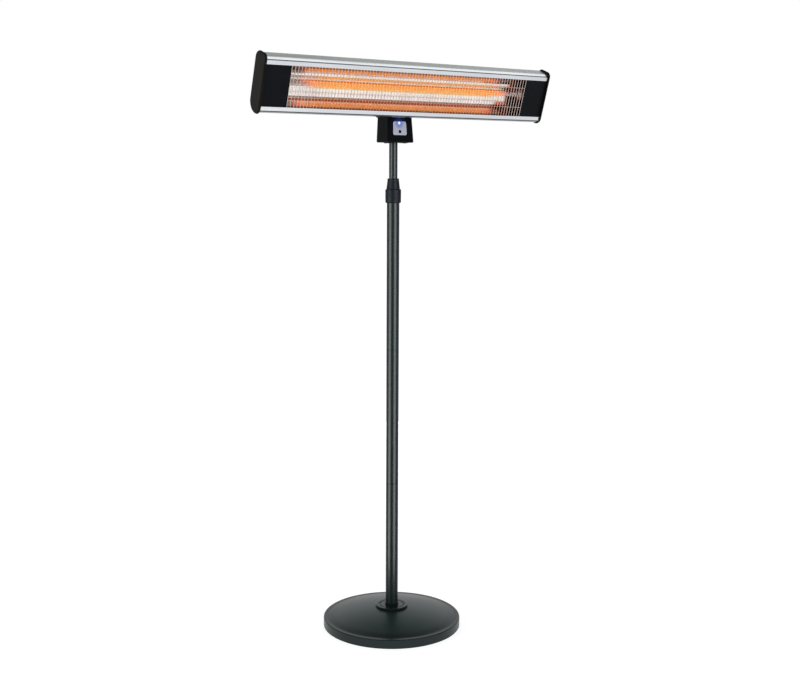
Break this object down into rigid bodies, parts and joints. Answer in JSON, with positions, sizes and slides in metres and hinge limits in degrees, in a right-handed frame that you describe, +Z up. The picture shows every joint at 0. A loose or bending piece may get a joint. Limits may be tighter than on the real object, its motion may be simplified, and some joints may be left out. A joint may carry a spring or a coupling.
{
  "type": "free-standing infrared patio heater",
  "caption": "Long infrared heater head with a wire guard and glowing quartz lamp, tilting on a control box atop a telescopic pole with a round weighted base.",
  "frame": {"origin": "on the floor under the pole's axis, which is the centre of the round base", "axes": "+Z up along the pole, X along the heater head, front and guard towards -Y"},
  "size_m": [0.8838, 0.37, 1.4985],
  "materials": {
    "black_paint": "satin powder coat",
    "black_sheet": "matte powder coat",
    "zinc_steel": "zinc plated",
    "black_plastic": "fine texture",
    "natural_plastic": "natural nylon",
    "cap_plastic": "fine texture",
    "rail_aluminium": "satin anodised",
    "bright_aluminium": "polished",
    "guard_steel": "bright plated",
    "panel_plastic": "satin",
    "led_plastic": "clear",
    "board_laminate": "coated laminate",
    "quartz": "clear",
    "element_carbon": "glowing",
    "white_ceramic": "matte",
    "concrete": "cast",
    "pad_rubber": "matte"
  },
  "bodies": {
    "stand": {"base_cover": "black_paint", "base_weight": "concrete", "base_plate": "zinc_steel", "base_pads": "pad_rubber", "base_bolt": "zinc_steel", "base_washer": "zinc_steel", "pole_flange": "black_plastic", "pole_foot_plug": "black_plastic", "pole_lower_tube": "black_paint", "pole_middle_tube": "black_paint", "pole_upper_tube": "black_paint", "pole_coupler_lower": "zinc_steel", "pole_coupler_upper": "zinc_steel", "collar_sleeve": "black_plastic", "collet": "natural_plastic"},
    "clamp": {"clamp_nut": "black_plastic"},
    "mast": {"extension_tube": "black_paint", "glide_bush": "natural_plastic"},
    "control_unit": {"control_housing": "black_plastic", "control_lid": "black_plastic", "pole_socket": "natural_plastic", "socket_screw": "zinc_steel", "control_panel": "panel_plastic", "status_led": "led_plastic", "control_board": "board_laminate", "tact_switch": "black_plastic", "power_relay": "black_plastic", "infrared_receiver": "black_plastic", "tip_over_switch": "black_plastic", "cable_gland": "black_plastic", "switch_frame": "black_plastic", "tilt_yoke": "black_sheet", "yoke_screws": "zinc_steel", "tilt_bolt": "zinc_steel", "tilt_nut": "zinc_steel", "tilt_washers": "zinc_steel"},
    "button": {"mode_button": "black_plastic"},
    "rocker": {"power_switch": "black_plastic"},
    "heater_head": {"upper_rail": "rail_aluminium", "lower_rail": "rail_aluminium", "back_panel": "black_sheet", "panel_screws": "zinc_steel", "end_cap_left": "cap_plastic", "end_cap_right": "cap_plastic", "end_plate_left": "black_sheet", "end_plate_right": "black_sheet", "guard_grille": "guard_steel", "reflector": "bright_aluminium", "quartz_tube": "quartz", "heating_element": "element_carbon", "lamp_cap_left": "white_ceramic", "lamp_cap_right": "white_ceramic", "lamp_holder_left": "zinc_steel", "lamp_holder_right": "zinc_steel", "thermal_cutout": "zinc_steel", "terminal_block": "white_ceramic", "head_bracket": "black_sheet", "bracket_screws": "zinc_steel"}
  },
  "joints": [
    {"name": "clamp_twist", "type": "hinge", "parent": "stand", "child": "clamp", "pos_m": [0, 0, 1.1922], "axis": [0, 0, 1], "range_deg": [0, 120]},
    {"name": "mast_slide", "type": "slide", "parent": "stand", "child": "mast", "axis": [0, 0, 1], "range_m": [-0.09, 0.24]},
    {"name": "head_swivel", "type": "hinge", "parent": "mast", "child": "control_unit", "pos_m": [0, 0, 1.3172], "axis": [0, 0, 1], "range_deg": [-180, 180]},
    {"name": "head_tilt", "type": "hinge", "parent": "control_unit", "child": "heater_head", "pos_m": [0, -0.018, 1.3922], "axis": [1, 0, 0], "range_deg": [-30, 15]},
    {"name": "button_press", "type": "slide", "parent": "control_unit", "child": "button", "axis": [0, 0.9979, -0.0645], "range_m": [0, 0.0012], "stiffness_N_per_m": 400, "springref_m": -0.0005},
    {"name": "switch_rock", "type": "hinge", "parent": "control_unit", "child": "rocker", "pos_m": [0.024, -0.01, 1.29885], "axis": [1, 0, 0], "range_deg": [-14, 0]}
  ]
}
